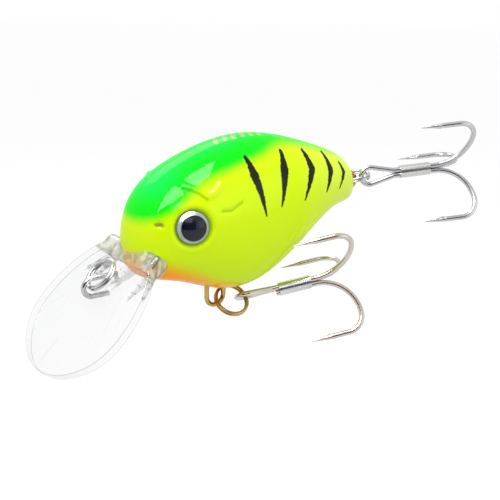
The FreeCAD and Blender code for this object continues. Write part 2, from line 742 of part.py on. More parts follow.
# Millimetres from the hanger's bend to the ring's wire in it, then in ring radii from there to the
# ring's wire in the hook's eye and the way the ring's centre leans off that line, then the hook's
# yaw, rise and turn in degrees.
REST = {
    "belly": (Vector(0.15, -0.15, -0.2), Vector(1.87, -0.33, -0.26), Vector(0, -0.77, -0.64), -25.0, 11.3, -31.0),
    "tail": (Vector(0, -0.15, -0.15), Vector(1.34, -0.53, 0.34), Y_AXIS, -30.0, 7.1, 90.6),
}
for name, (drop, reach, lean, yaw, rise, single_turn) in REST.items():
    radius = f"{name}_ring_radius"
    seat = HANGERS[name][2] + drop
    far = seat + reach * size(radius)
    centre, normal = threaded(radius, seat, far, lean)
    ring = split_ring(f"{name}_ring_coil", radius, centre, normal, (centre - seat).cross(normal))
    part(ring, f"{name}_ring")
    treble(name, hook_pose(far, yaw, rise, single_turn))
    pivots[f"{name}_ring_swing"] = (seat, tangent(centre, normal, seat))
    pivots[f"{name}_hook_swing"] = (far, tangent(centre, normal, far))

# ---------------------------------------------------------------------------------------------
# Check and write

doc.recompute()
for item in doc.Objects:
    if any(word in item.State for word in ("Invalid", "Error")):
        raise RuntimeError(f"{item.Name} did not compute: {item.State}")
for item in parts:
    if item.Shape.isNull() or not item.Shape.isValid():
        raise RuntimeError(f"{item.Label} has no sound shape")

os.makedirs("parts", exist_ok=True)
for item in parts:
    item.Shape.exportStep(os.path.join("parts", item.Label + ".step"))
    print(f"{item.Label}: {len(item.Shape.Solids)} solid, {item.Shape.Volume:.3f} mm3")
for name, (point, axis) in pivots.items():
    print(name, [round(value, 4) for value in point], [round(value, 5) for value in axis])
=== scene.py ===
import math

import bmesh
import bpy
import numpy as np
from mathutils import Matrix, Vector


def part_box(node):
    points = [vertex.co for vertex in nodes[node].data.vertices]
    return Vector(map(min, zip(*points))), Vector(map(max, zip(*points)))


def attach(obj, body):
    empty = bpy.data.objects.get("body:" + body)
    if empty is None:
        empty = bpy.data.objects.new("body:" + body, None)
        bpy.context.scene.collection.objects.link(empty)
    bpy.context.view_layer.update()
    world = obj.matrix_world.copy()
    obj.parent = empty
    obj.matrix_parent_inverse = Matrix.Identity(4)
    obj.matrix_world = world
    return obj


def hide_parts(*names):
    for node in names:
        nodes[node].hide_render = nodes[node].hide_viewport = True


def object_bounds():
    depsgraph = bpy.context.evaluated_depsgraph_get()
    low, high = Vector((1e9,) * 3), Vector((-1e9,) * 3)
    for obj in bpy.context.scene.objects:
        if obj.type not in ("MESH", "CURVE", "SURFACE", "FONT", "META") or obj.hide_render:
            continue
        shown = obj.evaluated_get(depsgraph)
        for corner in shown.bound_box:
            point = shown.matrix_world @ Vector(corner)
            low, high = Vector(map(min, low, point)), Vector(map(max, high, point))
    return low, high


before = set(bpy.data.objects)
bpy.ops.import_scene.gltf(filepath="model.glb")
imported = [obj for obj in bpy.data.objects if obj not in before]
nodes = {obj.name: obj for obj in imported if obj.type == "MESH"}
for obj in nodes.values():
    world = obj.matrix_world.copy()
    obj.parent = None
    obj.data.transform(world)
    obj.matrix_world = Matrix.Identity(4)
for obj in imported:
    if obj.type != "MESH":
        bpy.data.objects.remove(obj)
cad_low, cad_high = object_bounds()

# ---------------------------------------------------------------------------------------------
# The table, light and camera. The lure is held over a plain pale table, with room for its hooks
# to swing, and the camera looks past its nose at the left flank, from a little above.

MM = 0.001
VIEW_TURN, VIEW_RISE, VIEW_ROLL = math.radians(-37), math.radians(15), math.radians(1.389)
VIEW_TARGET = Vector((31.4, 0, 7.0)) * MM
VIEW_DISTANCE = 150 * MM

view_back = Vector((math.sin(VIEW_TURN) * math.cos(VIEW_RISE),
                    -math.cos(VIEW_TURN) * math.cos(VIEW_RISE), math.sin(VIEW_RISE)))
view_level = Vector((math.cos(VIEW_TURN), math.sin(VIEW_TURN), 0))
view_up = view_back.cross(view_level)
view_right = view_level * math.cos(VIEW_ROLL) + view_up * math.sin(VIEW_ROLL)
view_up = view_back.cross(view_right)


def in_the_scene(name, data):
    """A new object of a mesh, light or camera, linked into the scene."""
    made = bpy.data.objects.new(name, data)
    bpy.context.collection.objects.link(made)
    return made


camera = in_the_scene("camera", bpy.data.cameras.new("camera"))
camera.data.lens = 58.45
camera.data.sensor_width = 36
camera.data.shift_x, camera.data.shift_y = 0.0075, -0.0596
camera.data.clip_start, camera.data.clip_end = 0.005, 10
camera.matrix_world = Matrix.Translation(VIEW_TARGET + view_back * VIEW_DISTANCE) @ Matrix(
    (view_right, view_up, view_back)).transposed().to_4x4()
bpy.context.scene.camera = camera
bpy.context.scene.view_settings.view_transform = "Standard"


def add(tree, kind, inputs=None, **settings):
    """A shader node with its settings, and its inputs set to values or joined to other nodes."""
    made = tree.nodes.new(kind)
    for name, value in settings.items():
        setattr(made, name, value)
    for name, value in (inputs or {}).items():
        if isinstance(value, bpy.types.NodeSocket):
            tree.links.new(value, made.inputs[name])
        else:
            made.inputs[name].default_value = value
    return made


def number(tree, operation, *values, clamp=False):
    """The result of a maths node."""
    made = add(tree, "ShaderNodeMath", dict(enumerate(values)), operation=operation, use_clamp=clamp)
    return made.outputs[0]


def ramp(tree, value, low, high):
    """Rises smoothly from 0 at low to 1 at high, where low may be the larger."""
    return add(tree, "ShaderNodeMapRange", {"Value": value, "From Min": low, "From Max": high},
               interpolation_type="SMOOTHSTEP").outputs[0]


def blend(tree, share, one, two):
    """The first colour, with a share of the second over it."""
    return add(tree, "ShaderNodeMix", {0: share, 6: one, 7: two}, data_type="RGBA").outputs[2]


def finish_of(name, **values):
    """A material with one Principled shader that has these plain values, its tree and its shader."""
    made = bpy.data.materials.new(name)
    made.use_nodes = True
    shader = made.node_tree.nodes["Principled BSDF"]
    for socket, value in values.items():
        shader.inputs[socket.replace("_", " ")].default_value = value
    return made, made.node_tree, shader


def white_to_the_eye(tree):
    """1 for rays from the camera, or by way of metal or clear plastic."""
    rays = add(tree, "ShaderNodeLightPath").outputs
    seen = number(tree, "MAXIMUM", rays["Is Camera Ray"], rays["Is Glossy Ray"])
    return number(tree, "MAXIMUM", seen, rays["Is Transmission Ray"])


ROOM_LIGHT, WHITE = 0.82, (1, 1, 1, 1)
world = bpy.data.worlds.new("room")
world.use_nodes = True
bpy.context.scene.world = world
room = world.node_tree
room_light = add(room, "ShaderNodeMapRange", {"Value": white_to_the_eye(room), "To Min": ROOM_LIGHT})
background = room.nodes["Background"]
room.links.new(room_light.outputs[0], background.inputs["Strength"])
background.inputs["Color"].default_value = WHITE


def softbox(name, place, aim, size, power):
    """A rectangular lamp at a place in millimetres, turned to a point, with its power in watts."""
    light = in_the_scene(name, bpy.data.lights.new(name, "AREA"))
    light.data.shape = "RECTANGLE"
    light.data.size, light.data.size_y = size[0] * MM, size[1] * MM
    light.data.energy = power
    light.location = Vector(place) * MM
    light.rotation_mode = "QUATERNION"
    light.rotation_quaternion = (Vector(aim) * MM - light.location).to_track_quat("-Z", "Y")


softbox("key_light", (0, -32, 285), (15, -5, 15), (80, 34), 0.20)
softbox("side_light", (-90, -150, 160), (20, 0, 5), (150, 90), 0.10)
softbox("fill_light", (160, -220, 60), (30, 0, 0), (150, 150), 0.05)
softbox("back_light", (60, 200, 160), (30, 0, 10), (200, 80), 0.12)


def meshed(name, edit):
    """The object of a finished edit mesh."""
    mesh = bpy.data.meshes.new(name)
    edit.to_mesh(mesh)
    edit.free()
    return in_the_scene(name, mesh)


def flat_panel(name, corners, faces, finish):
    """Studio ware: a panel that is no part of the lure."""
    edit = bmesh.new()
    made = [edit.verts.new(corner) for corner in corners]
    for face in faces:
        edit.faces.new([made[index] for index in face])
    panel = meshed(name, edit)
    panel.data.materials.append(finish)
    return panel


SQUARE = ((-1, -1), (1, -1), (1, 1), (-1, 1))
TABLE_HALF, TABLE_BELOW, TABLE_GLOW = 3.0, 32 * MM, 0.63
table_finish, tree, shader = finish_of("pale_table", Base_Color=(0.40, 0.40, 0.40, 1), Roughness=0.9,
                                       Specular_IOR_Level=0.1, Emission_Color=WHITE)
table_glow = number(tree, "MULTIPLY", white_to_the_eye(tree), TABLE_GLOW)
tree.links.new(table_glow, shader.inputs["Emission Strength"])
table_corners = [(x * TABLE_HALF, y * TABLE_HALF, cad_low.z - TABLE_BELOW) for x, y in SQUARE]
table = flat_panel("table", table_corners, [(0, 1, 2, 3)], table_finish)


def studio_card(name, corners, faces, glow):
    """A card that is seen only in reflections."""
    finish = finish_of(name, Base_Color=(0.03, 0.03, 0.03, 1), Roughness=1.0, Specular_IOR_Level=0.0,
                       Emission_Color=WHITE, Emission_Strength=glow)[0]
    card = flat_panel(name, corners, faces, finish)
    card.visible_camera = card.visible_diffuse = card.visible_transmission = card.visible_shadow = False


# A dark card behind the camera sets off the highlights of chrome and lacquer, and a bright card
# bent like a leaf, over the nose, gives the back its sheen.
DARK_BACK, DARK_WIDE, DARK_HIGH = 330, 240, 170
dark_middle = VIEW_TARGET + view_back * DARK_BACK * MM
dark_corners = [dark_middle + view_right * (x * DARK_WIDE) * MM + view_up * (y * DARK_HIGH) * MM
                for x, y in SQUARE]
studio_card("dark_card", dark_corners, [(0, 1, 2, 3)], 0.0)
LEAF_BACK_EDGE = ((-42.1, -11.6, 41.8), (-11.1, -1.1, 71.3), (12.8, 1.1, 77.5), (31.5, -0.8, 78.8))
LEAF_NEAR_EDGE = ((24.2, -27.7, 73.4), (0.9, -33.7, 67.8), (-22.6, -28.9, 57.9))
studio_card("bright_card", [Vector(corner) * MM for corner in LEAF_BACK_EDGE + LEAF_NEAR_EDGE],
            [(0, 1, 6), (1, 2, 5, 6), (2, 3, 4, 5)], 17.0)


def group(name, inputs, outputs):
    """An empty shader node group with named sockets, and its input and output nodes."""
    made = bpy.data.node_groups.new(name, "ShaderNodeTree")
    for socket, kind, value in inputs:
        item = made.interface.new_socket(name=socket, in_out="INPUT", socket_type="NodeSocket" + kind)
        if value is not None:
            item.default_value = value
    for socket, kind in outputs:
        made.interface.new_socket(name=socket, in_out="OUTPUT", socket_type="NodeSocket" + kind)
    return made, made.nodes.new("NodeGroupInput").outputs, made.nodes.new("NodeGroupOutput").inputs


def use(tree, made, **inputs):
    """A node group placed in a material, with its own values."""
    placed = tree.nodes.new("ShaderNodeGroup")
    placed.node_tree = made
    for name, value in inputs.items():
        socket = placed.inputs[name.replace("_", " ")]
        if isinstance(value, bpy.types.NodeSocket):
            tree.links.new(value, socket)
        else:
            socket.default_value = value
    return placed.outputs


# Handling marks: fine scuffs and a slight unevenness, as on any handled metal or plastic.
handled, given, told = group(
    "handling_marks",
    [("Scale", "Float", 400.0), ("Roughness", "Float", 0.2), ("Spread", "Float", 0.1),
     ("Base", "Color", (0.8, 0.8, 0.8, 1)), ("Dark", "Color", (0.5, 0.5, 0.5, 1)), ("Amount", "Float", 0.3)],
    [("Color", "Color"), ("Roughness", "Float"), ("Height", "Float")])
spot = add(handled, "ShaderNodeTexCoord").outputs["Object"]
mottle = add(handled, "ShaderNodeTexNoise", {"Vector": spot, "Scale": given["Scale"], "Detail": 4.0})
mottle = mottle.outputs["Fac"]
scuff_scale = number(handled, "MULTIPLY", given["Scale"], 5.0)
scuff = add(handled, "ShaderNodeTexNoise", {"Vector": spot, "Scale": scuff_scale, "Detail": 2.0})
rough = number(handled, "SUBTRACT", mottle, 0.5)
rough = number(handled, "MULTIPLY_ADD", rough, given["Spread"], given["Roughness"])
tone = blend(handled, number(handled, "MULTIPLY", mottle, given["Amount"]), given["Base"], given["Dark"])
handled.links.new(tone, told["Color"])
handled.links.new(rough, told["Roughness"])
handled.links.new(scuff.outputs["Fac"], told["Height"])


def handled_metal(name, base, dark, roughness, bump, amount=0.5, scale=500.0):
    """A bare or plated metal with handling marks."""
    made, tree, shader = finish_of(name, Metallic=1.0)
    marks = use(tree, handled, Base=base, Dark=dark, Amount=amount, Roughness=roughness, Spread=0.12,
                Scale=scale)
    relief = add(tree, "ShaderNodeBump", {"Height": marks["Height"], "Strength": bump, "Distance": 0.05 * MM})
    tree.links.new(marks["Color"], shader.inputs["Base Color"])
    tree.links.new(marks["Roughness"], shader.inputs["Roughness"])
    tree.links.new(relief.outputs[0], shader.inputs["Normal"])
    return made


def dress(finish, *names):
    """Gives nodes that come from the CAD model their finish."""
    for name in names:
        item = nodes[name]
        item.data.materials.clear()
        item.data.materials.append(finish)


# ---------------------------------------------------------------------------------------------
# Line tie. A stainless wire bent into an eye, whose two legs are moulded into the bill; the
# fishing line or snap takes hold here.

tie_steel = handled_metal("tie_wire_steel", (0.62, 0.62, 0.63, 1), (0.20, 0.20, 0.21, 1), roughness=0.2,
                          bump=0.1)
dress(tie_steel, "line_tie_wire")

# ---------------------------------------------------------------------------------------------
# Diving bill. A clear polycarbonate plate, moulded in one piece with its collar and ribs and
# glued into the shells by its tongue; it makes the lure dive.

BILL_RUN = Vector((-math.sqrt(0.5), 0, -math.sqrt(0.5)))
BILL_FACE = Vector((-math.sqrt(0.5), 0, math.sqrt(0.5)))
# Millimetres: the flow lines fan out from a point above the line tie, along the bill, and the
# plate's lower face lies below the line tie, square to the bill.
FAN_ABOVE, COLLAR_ABOVE, LOWER_FACE = 15.0, 6.6, -2.55
# The darker greys here are painted shade, and the collar's olive, cream and white are a painted view of the
# paint behind it.
CLEAR_FACE, CLEAR_SIDE_SHADE = (0.56, 0.58, 0.58, 1), (0.17, 0.19, 0.18, 1)
CORNER_SHADE_GREY, COLLAR_CORNER_SHADE = (0.20, 0.21, 0.20, 1), (0.16, 0.16, 0.13, 1)
COLLAR_OLIVE, COLLAR_CREAM = (0.27, 0.31, 0.16, 1), (0.50, 0.52, 0.34, 1)
COLLAR_WHITE, RIB_SHADE_GREY = (0.86, 0.85, 0.78, 1), (0.06, 0.07, 0.06, 1)

clear_bill, tree, shader = finish_of("clear_bill_plastic", Roughness=0.08, IOR=1.5, Coat_Weight=1.0,
                                     Coat_Roughness=0.02)
place = add(tree, "ShaderNodeTexCoord").outputs


def vector(tree, operation, *values):
    """The result of a vector maths node: a number for a product or a distance, else a vector."""
    made = add(tree, "ShaderNodeVectorMath", dict(enumerate(values)), operation=operation)
    return made.outputs["Value" if operation in ("DOT_PRODUCT", "DISTANCE") else "Vector"]


down = vector(tree, "DOT_PRODUCT", place["Object"], tuple(BILL_RUN / MM))
down = number(tree, "ADD", down, FAN_ABOVE)
above = vector(tree, "DOT_PRODUCT", place["Object"], tuple(BILL_FACE / MM))
across = add(tree, "ShaderNodeSeparateXYZ", {0: place["Object"]}).outputs["Y"]
across = number(tree, "MULTIPLY", across, 1 / MM)

# Faint flow lines fan out from the gate, with one straight seam near the tip's middle.
fan = number(tree, "MULTIPLY", number(tree, "ARCTAN2", across, down), 9.0)
flow = add(tree, "ShaderNodeTexNoise", {"W": fan, "Scale": 3.0, "Detail": 4.0}, noise_dimensions="1D")
flow = flow.outputs[0]
seam = number(tree, "MULTIPLY", ramp(tree, number(tree, "ABSOLUTE", across), 0.22, 0.05),
              ramp(tree, down, 24.5, 26.0))
seam = number(tree, "MULTIPLY", seam, ramp(tree, above, LOWER_FACE + 0.45, LOWER_FACE + 0.95))

# Surfaces turned from view, rounded corners and streaks in the ribs are painted darker: painted
# shade for the way clear plastic bends the light there. The collar is painted with the paint
# behind it, broken up: a painted view through the plastic.
square = number(tree, "ABSOLUTE", vector(tree, "DOT_PRODUCT", place["Normal"], tuple(BILL_FACE)))
corner = number(tree, "MULTIPLY", square, number(tree, "SUBTRACT", 1.0, square))
corner = number(tree, "POWER", number(tree, "MULTIPLY", corner, 4.0), 3.0)
collar = ramp(tree, down, FAN_ABOVE - COLLAR_ABOVE + 0.3, FAN_ABOVE - COLLAR_ABOVE - 0.2)
ribbed = number(tree, "MULTIPLY", ramp(tree, above, LOWER_FACE - 0.10, LOWER_FACE - 0.40),
                number(tree, "SUBTRACT", 1.0, collar))
stretch = add(tree, "ShaderNodeMapping", {"Vector": place["Object"], "Scale": (480.0, 230.0, 300.0)})
broken = add(tree, "ShaderNodeTexNoise", {"Vector": stretch.outputs[0], "Scale": 1.0, "Detail": 1.0,
                                          "Distortion": 1.2}).outputs[0]
fibre = add(tree, "ShaderNodeTexNoise", {"W": fan, "Scale": 8.0, "Detail": 1.0}, noise_dimensions="1D")
streaks = number(tree, "MULTIPLY", fibre.outputs[0], 0.5)
streaks = number(tree, "MULTIPLY_ADD", broken, 0.5, streaks)
streaks = number(tree, "MULTIPLY", ribbed, ramp(tree, streaks, 0.51, 0.45))
edge = add(tree, "ShaderNodeLayerWeight", {"Blend": 0.3})
turned = number(tree, "POWER", edge.outputs["Facing"], 2.0)

behind = blend(tree, ramp(tree, broken, 0.34, 0.48), COLLAR_OLIVE, COLLAR_CREAM)
behind = blend(tree, ramp(tree, broken, 0.50, 0.60), behind, COLLAR_WHITE)
tone = blend(tree, corner, blend(tree, turned, CLEAR_FACE, CLEAR_SIDE_SHADE), CORNER_SHADE_GREY)
tone = blend(tree, collar, tone, blend(tree, corner, behind, COLLAR_CORNER_SHADE))
tree.links.new(blend(tree, streaks, tone, RIB_SHADE_GREY), shader.inputs["Base Color"])

solid = 0.09
for effect, weight in ((turned, 0.80), (ramp(tree, flow, 0.55, 0.75), 0.035), (seam, 0.20), (corner, 0.30),
                       (ribbed, 0.10), (collar, 0.42), (streaks, 0.5)):
    solid = number(tree, "MULTIPLY_ADD", effect, weight, solid)
tree.links.new(number(tree, "MINIMUM", solid, 0.92), shader.inputs["Alpha"])
ripple = add(tree, "ShaderNodeBump", {"Height": flow, "Strength": 0.12, "Distance": 0.1 * MM})
tree.links.new(ripple.outputs[0], shader.inputs["Normal"])
dress(clear_bill, "diving_bill")

# ---------------------------------------------------------------------------------------------
# Hook hangers. Closed links of brass-plated wire, half of each trapped between the shells; the
# split rings hang on the other half.

hanger_plate = handled_metal("hanger_brass_plate", (0.72, 0.46, 0.13, 1), (0.16, 0.10, 0.025, 1),
                             roughness=0.2, bump=0.12, amount=0.9)
dress(hanger_plate, "belly_hanger", "tail_hanger")

# ---------------------------------------------------------------------------------------------
# Weight and rattle balls. A steel pin low in the belly and two steel balls in tubes across the
# body, all shut in by the shells.

bare_steel = handled_metal("inner_steel", (0.5, 0.5, 0.51, 1), (0.25, 0.25, 0.26, 1), roughness=0.35,
                           bump=0.2)
dress(bare_steel, "belly_weight", "rattle_ball_front", "rattle_ball_rear")

# ---------------------------------------------------------------------------------------------
# Body shells. Two glossy moulded halves, joined at the middle plane and airbrushed: a green back,
# yellow flanks, an orange throat, black bars and plain gold dashes, with a painted sheen on top of
# the back, a painted shadow round each eye and painted shade in the gill creases and nostril.

# Millimetres: the nose's place in the frame, and the body's height and half-width at stations
# that crowd together towards both ends.
NOSE = Vector((6.4, 0, 7.0))
LENGTH, FULLNESS = 50.0, 2.15
BACK_LINE = (-1.3, 4.8, 9.6, 12.8, 15.3, 16.3, 15.2, 13.2, 11.0, 7.7, 3.6)
BELLY_LINE = (-1.3, -5.7, -7.4, -8.9, -11.3, -11.1, -6.7, -1.4, 0.7, 1.2, 3.6)
HALF_WIDTH = (0, 4.4, 7.8, 9.7, 10.2, 9.9, 9.0, 7.7, 5.8, 3.2, 0)
ALONG_STEPS, ROUND_STEPS = 230, 150
WRAP = 3


def smooth_line(values, mirrored):
    """A smooth curve through a line's stations, carried on past both ends by its mirror."""
    known = np.concatenate([mirrored[WRAP:0:-1], values, mirrored[-2:-2 - WRAP:-1]]).astype(float)
    count = len(known)
    bend = np.eye(count) * 4
    bend += np.eye(count, k=1) + np.eye(count, k=-1)
    pull = np.zeros(count)
    pull[1:-1] = 6 * (known[2:] - 2 * known[1:-1] + known[:-2])
    bend[0, :2], bend[-1, -2:] = (1, 0), (0, 1)
    second = np.linalg.solve(bend, pull)

    def value(turn):
        step = np.clip(turn / math.pi * (len(values) - 1), 0, len(values) - 1) + WRAP
        low = np.minimum(step.astype(int), count - 2)
        part = step - low
        rest = 1 - part
        return (rest * known[low] + part * known[low + 1]
                + (rest ** 3 - rest) * second[low] / 6 + (part ** 3 - part) * second[low + 1] / 6)

    return value


back_line = smooth_line(BACK_LINE, BELLY_LINE)
belly_line = smooth_line(BELLY_LINE, BACK_LINE)
half_width = smooth_line(HALF_WIDTH, [-value for value in HALF_WIDTH])

# Millimetres from the nose: the marks on each flank, with how far they rise or sink and how wide
# they spread. The last is a hollow that the belly hook has worn.
EYE_AT = Vector((7.65, -9.0, 3.1))
SOCKET_DEPTH, SOCKET_RADIUS, SOCKET_RIM = 0.96, 2.86, 3.6
BROW_OUT, BROW_RISE, BROW_SPREAD = 0.5, 0.10, 0.55
GILL_RIDGE = ((7.6, 9.6), (9.3, 8.9), (10.4, 7.9), (12.0, 8.3), (13.6, 9.6))
RIDGE_RISE, RIDGE_SPREAD = 0.34, 0.5
GILL_SLIT = ((12.88, 5.39), (14.6, 5.3), (16.86, 6.42))
SLIT_DEPTH, SLIT_SPREAD = 0.24, 0.32
NOSTRIL_AT, NOSTRIL_DEPTH, NOSTRIL_SPREAD = (3.0, 3.57), 0.5, 0.42
HOOK_RUB_AT, HOOK_RUB_DEPTH, HOOK_RUB_SPREAD = (20.1, -2.6), 0.07, 1.8


def distance_to(line, x, z):
    """How far points of the flank lie from a line drawn on it."""
    near = np.full(x.shape, 99.0)
    for (ax, az), (bx, bz) in zip(line[:-1], line[1:]):
        run = (bx - ax) ** 2 + (bz - az) ** 2
        part = np.clip(((x - ax) * (bx - ax) + (z - az) * (bz - az)) / run, 0, 1)
        near = np.minimum(near, np.hypot(x - ax - part * (bx - ax), z - az - part * (bz - az)))
    return near


def swell(away, spread):
    """1 on a mark, dying away over its spread."""
    return np.exp(-(away / spread) ** 2)


def shell_points(side):
    """The skin of one half, from nose to tail and from belly to back, in millimetres from the nose."""
    turn = np.linspace(0, math.pi, ALONG_STEPS + 1)[:, None]
    lean = (np.linspace(-0.5, 0.5, ROUND_STEPS + 1) * math.pi)[None, :]
    power = 2 / FULLNESS
    out = np.abs(np.cos(lean)) ** power
    up = np.sign(np.sin(lean)) * np.abs(np.sin(lean)) ** power
    high, low, wide = back_line(turn), belly_line(turn), half_width(turn)
    out[:, 0] = out[:, -1] = 0
    grid = np.stack([LENGTH / 2 * (1 - np.cos(turn)) + 0 * lean, side * wide * out,
                     (high + low) / 2 + (high - low) / 2 * up], axis=-1)
    grid[0, :, 1] = grid[-1, :, 1] = 0
    slope_a = np.gradient(grid, axis=0)
    slope_r = np.gradient(grid, axis=1)
    normal = np.cross(slope_a, slope_r) * -side
    size = np.linalg.norm(normal, axis=-1, keepdims=True)
    normal = normal / np.maximum(size, 1e-9)
    x, y, z = grid[..., 0], grid[..., 1], grid[..., 2]
    flank = np.clip(np.abs(y) / 2.0, 0, 1)
    from_eye = np.sqrt((x - EYE_AT.x) ** 2 + (np.abs(y) + EYE_AT.y) ** 2 + (z - EYE_AT.z) ** 2)
    dish = np.clip((SOCKET_RIM - from_eye) / (SOCKET_RIM - SOCKET_RADIUS), 0, 1)
    from_nostril = np.hypot(x - NOSTRIL_AT[0], z - NOSTRIL_AT[1])
    from_rub = np.hypot(x - HOOK_RUB_AT[0], z - HOOK_RUB_AT[1])
    lift = -SOCKET_DEPTH * dish * dish * (3 - 2 * dish)
    lift += BROW_RISE * swell(from_eye - SOCKET_RIM - BROW_OUT, BROW_SPREAD)
    lift += RIDGE_RISE * flank * swell(distance_to(GILL_RIDGE, x, z), RIDGE_SPREAD)
    lift -= SLIT_DEPTH * flank * swell(distance_to(GILL_SLIT, x, z), SLIT_SPREAD)
    lift -= NOSTRIL_DEPTH * flank * swell(from_nostril, NOSTRIL_SPREAD)
    lift -= HOOK_RUB_DEPTH * flank * swell(from_rub, HOOK_RUB_SPREAD)
    return grid + normal * lift[..., None]


def shell_mesh(name, side):
    """One moulded half as a closed mesh, with a crisp parting edge."""
    grid = (shell_points(side) + np.array(NOSE)) * MM
    edit = bmesh.new()
    rows = []
    for station in range(ALONG_STEPS + 1):
        if station in (0, ALONG_STEPS):
            tip = edit.verts.new(grid[station, 0])
            rows.append([tip] * (ROUND_STEPS + 1))
        else:
            rows.append([edit.verts.new(point) for point in grid[station]])
    for one, two in zip(rows[:-1], rows[1:]):
        for step in range(ROUND_STEPS):
            loop = [one[step], two[step], two[step + 1], one[step + 1]]
            loop = [v for index, v in enumerate(loop) if v not in loop[:index]]
            face = edit.faces.new(loop if side < 0 else loop[::-1])
            face.smooth = True
    rim = [row[0] for row in rows] + [row[-1] for row in rows[-2:0:-1]]
    flat = edit.faces.new(rim)
    flat.normal_update()
    if flat.normal.y * side > 0:
        flat.normal_flip()
    for seam in flat.edges:
        seam.smooth = False
    bmesh.ops.triangulate(edit, faces=[flat])
    return meshed(name, edit)


# A brushed bar: one tapered stroke of paint between two points, in millimetres.
stroke, given, told = group(
    "brushed_bar",
    [("Point", "Vector", None), ("Start", "Vector", None), ("End", "Vector", None),
     ("Start Width", "Float", 0.5), ("End Width", "Float", 0.1), ("Softness", "Float", 0.1)],
    [("Mask", "Float")])
run = vector(stroke, "SUBTRACT", given["End"], given["Start"])
reach = vector(stroke, "SUBTRACT", given["Point"], given["Start"])
part = number(stroke, "DIVIDE", vector(stroke, "DOT_PRODUCT", reach, run),
              vector(stroke, "DOT_PRODUCT", run, run), clamp=True)
nearest = add(stroke, "ShaderNodeVectorMath", {0: run, "Scale": part}, operation="SCALE")
away = vector(stroke, "DISTANCE", reach, nearest.outputs["Vector"])
wide = add(stroke, "ShaderNodeMix", {0: part, 2: given["Start Width"], 3: given["End Width"]}).outputs[0]
over = number(stroke, "SUBTRACT", away, wide)
stroke.links.new(ramp(stroke, over, given["Softness"], 0.0), told["Mask"])

# x and height of each bar's ends and turns, with its half-width there.
BARS = (
    ((19.75, 13.3, 0.22), (20.2, 10.6, 0.78), (21.8, 3.5, 0.06)),
    ((27.7, 13.7, 0.25), (27.0, 10.8, 0.82), (25.4, 4.7, 0.06)),
    ((33.3, 13.2, 0.30), (33.8, 10.2, 0.72), (31.2, 5.0, 0.05)),
    ((38.7, 12.2, 0.25), (38.9, 9.4, 0.66), (37.2, 5.6, 0.05)),
    ((42.4, 10.2, 0.15), (43.0, 8.4, 0.48), (41.3, 5.6, 0.04)),
)
# x and y where each dash across the back starts, and how far it then runs.
DASH_STARTS = ((17.2, -1.2), (19.0, -1.35), (20.8, -1.5), (22.6, -1.6), (24.4, -1.6), (26.2, -1.6))
DASH_RUN, DASH_FLOOR = (0.9, 1.9), 8.0
# x and height of the green's lower edge and of the orange's upper edge.
GREEN_EDGE = ((0, 3.4), (4.5, 5.4), (7.5, 7.9), (10.5, 9.9), (16.5, 11.8), (22.5, 13.3), (28.5, 14.7),
              (34.5, 13.9), (40, 12.4), (45, 10.6), (50, 6.5))
ORANGE_EDGE = ((0, -2.2), (4.5, -3.8), (7.5, -5.0), (10.5, -6.5), (13.5, -8.0), (17, -9.4), (22, -11.0),
               (50, -14))
# The lowest height that an edge's curve can tell and how far it reaches above that, and how far
# the paint strays from its edge.
SPAN_LOW, SPAN, STRAY = -15.0, 32.0, 0.5

shell_paint, tree, shader = finish_of(
    "airbrushed_shell", Roughness=0.3, IOR=1.45, Specular_IOR_Level=0.0, Coat_Weight=0.42,
    Coat_IOR=1.38, Coat_Roughness=0.03, Emission_Strength=0.30)
spot = add(tree, "ShaderNodeTexCoord").outputs["Object"]
place = add(tree, "ShaderNodeMapping", {"Vector": spot, "Scale": (1 / MM,) * 3,
                                        "Location": tuple(-NOSE)}, vector_type="POINT").outputs[0]
axes = add(tree, "ShaderNodeSeparateXYZ", {0: place}).outputs
flank_side = number(tree, "ABSOLUTE", axes["Y"])
ragged = add(tree, "ShaderNodeTexNoise", {"Vector": place, "Scale": 1.6, "Detail": 3.0})
shift = vector(tree, "MULTIPLY_ADD", ragged.outputs["Color"], (STRAY, 0, STRAY), (-STRAY / 2, 0, -STRAY / 2))
flat_point = vector(tree, "MULTIPLY", place, (1, 0, 1))
brushed = vector(tree, "ADD", flat_point, shift)


def edge_line(line):
    """A height along the body, read off a curve."""
    part = number(tree, "DIVIDE", axes["X"], LENGTH)
    made = add(tree, "ShaderNodeFloatCurve", {"Value": part})
    curve = made.mapping.curves[0]
    ends = [(x / LENGTH, (z - SPAN_LOW) / SPAN) for x, z in line]
    curve.points[0].location, curve.points[1].location = ends[0], ends[-1]
    for x, z in ends[1:-1]:
        curve.points.new(x, z)
    made.mapping.update()
    return number(tree, "MULTIPLY_ADD", made.outputs[0], SPAN, SPAN_LOW)


def sprayed(line, soft_low, soft_high):
    """0 below a sprayed edge and 1 above it."""
    over = number(tree, "SUBTRACT", axes["Z"], edge_line(line))
    speck = number(tree, "MULTIPLY_ADD", ragged.outputs["Fac"], STRAY, -STRAY / 2)
    return ramp(tree, number(tree, "ADD", over, speck), soft_low, soft_high)


def brushed_on(point, strokes, softness):
    """The mask of some strokes, each with its two ends and its half-width at both."""
    mask = 0.0
    for start, end, start_width, end_width in strokes:
        one = use(tree, stroke, Point=point, Start=start, End=end, Start_Width=start_width,
                  End_Width=end_width, Softness=softness)["Mask"]
        mask = number(tree, "MAXIMUM", mask, one)
    return mask


YELLOW, PALE_YELLOW = (0.56, 0.78, 0.002, 1), (0.66, 0.80, 0.10, 1)
GREEN, BACK_SHEEN_GREEN = (0.001, 0.74, 0.006, 1), (0.001, 0.68, 0.085, 1)
ORANGE = (1.0, 0.33, 0.0, 1)
SOCKET_SHADOW_OLIVE = (0.20, 0.30, 0.02, 1)
BAR_BLACK = (0.012, 0.014, 0.008, 1)
DASH_GOLD = (0.42, 0.38, 0.18, 1)
CREASE_SHADE_GREEN, NOSTRIL_SHADE_BROWN = (0.10, 0.34, 0.004, 1), (0.17, 0.14, 0.008, 1)

